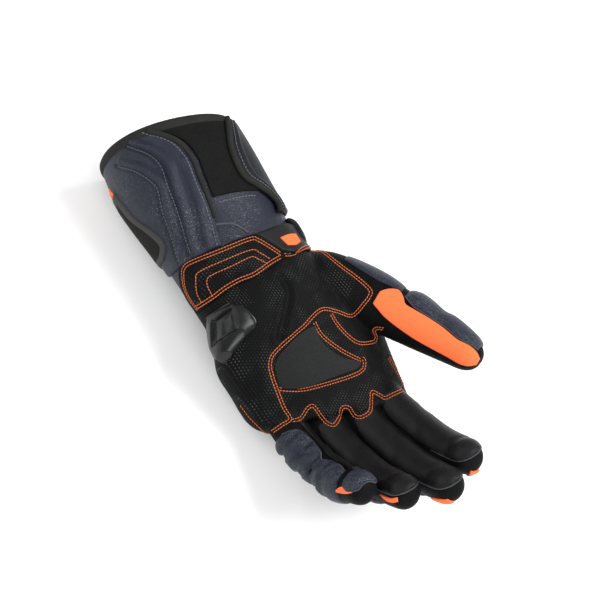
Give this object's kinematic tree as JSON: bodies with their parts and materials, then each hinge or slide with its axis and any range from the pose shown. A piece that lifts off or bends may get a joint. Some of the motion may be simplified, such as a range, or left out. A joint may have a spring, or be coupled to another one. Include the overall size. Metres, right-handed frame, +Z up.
{
  "type": "motorcycle gauntlet",
  "caption": "Left-hand leather motorcycle gauntlet in navy and black with an orange thumb panel, a hard palm slider and a hook-and-loop cuff, lying palm up.",
  "frame": {"origin": "On the surface that the glove lies on, under the middle of its box.", "axes": "+X towards the little finger's side, +Y towards the fingertips, +Z up out of the palm."},
  "size_m": [0.157, 0.3226, 0.0904],
  "materials": {
    "navy_leather": "fine grain with light speckle",
    "black_leather": "matte grain, embossed on the palm",
    "grey_binding": "rolled woven binding",
    "loop_fabric": "velvety loop pile",
    "guard_rubber": "satin moulded rubber",
    "slider_plastic": "hard moulded plastic with facets",
    "orange_leather": "fluorescent orange, smooth"
  },
  "bodies": {
    "root": {"gauntlet_cuff": "navy_leather", "ulnar_flap": "navy_leather", "radial_flap": "navy_leather", "thumb_pad": "navy_leather", "thumb_root_pad": "navy_leather", "index_pad": "navy_leather", "middle_pad": "navy_leather", "ring_pad": "navy_leather", "little_pad": "navy_leather", "hand_shell": "black_leather", "index_stall": "black_leather", "middle_stall": "black_leather", "ring_stall": "black_leather", "little_stall": "black_leather", "thumb_stall": "black_leather", "wrist_patch": "black_leather", "wrist_strap": "black_leather", "palm_patch": "black_leather", "mouth_binding": "grey_binding", "ulnar_flap_binding": "grey_binding", "radial_flap_binding": "grey_binding", "loop_panel": "loop_fabric", "cuff_guard": "guard_rubber", "guard_inset": "guard_rubber", "palm_slider": "slider_plastic", "strap_tab": "orange_leather", "thumb_panel": "orange_leather", "index_tip_slip": "orange_leather", "middle_tip_slip": "orange_leather", "ring_tip_slip": "orange_leather", "little_tip_slip": "orange_leather"}
  },
  "joints": []
}
